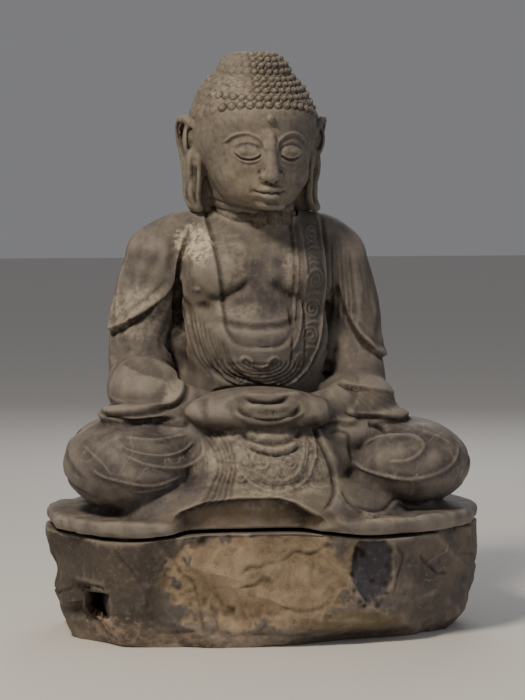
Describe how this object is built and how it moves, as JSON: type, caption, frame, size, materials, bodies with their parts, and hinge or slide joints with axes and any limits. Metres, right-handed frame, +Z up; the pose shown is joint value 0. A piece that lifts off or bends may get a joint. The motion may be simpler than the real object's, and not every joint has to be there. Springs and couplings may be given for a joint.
{
  "type": "seated buddha statue",
  "caption": "Seated stone figure with joined hands, robe and long-lobed head, set on a rough bed stone with a dowelled and mortared joint.",
  "frame": {"origin": "middle of the bed stone's flat underside", "axes": "+Z up, the figure faces -Y, +X is the figure's left-hand side"},
  "size_m": [0.752, 0.5102, 0.996],
  "materials": {
    "carved_stone": "weathered",
    "bed_stone": "rough hewn",
    "bead_stone": "worn smooth",
    "lime_mortar": "matte",
    "slate": "split",
    "iron": "rusted",
    "lead": "dull"
  },
  "bodies": {
    "root": {"bed_stone": "bed_stone", "bed_mortar": "lime_mortar", "bed_shims": "slate", "left_bed_dowel": "iron", "right_bed_dowel": "iron", "left_bed_lead": "lead", "right_bed_lead": "lead", "seated_figure": "carved_stone", "neck_mortar": "lime_mortar", "neck_dowel": "iron", "neck_lead": "lead", "head": "carved_stone", "urna": "bead_stone"}
  },
  "joints": []
}
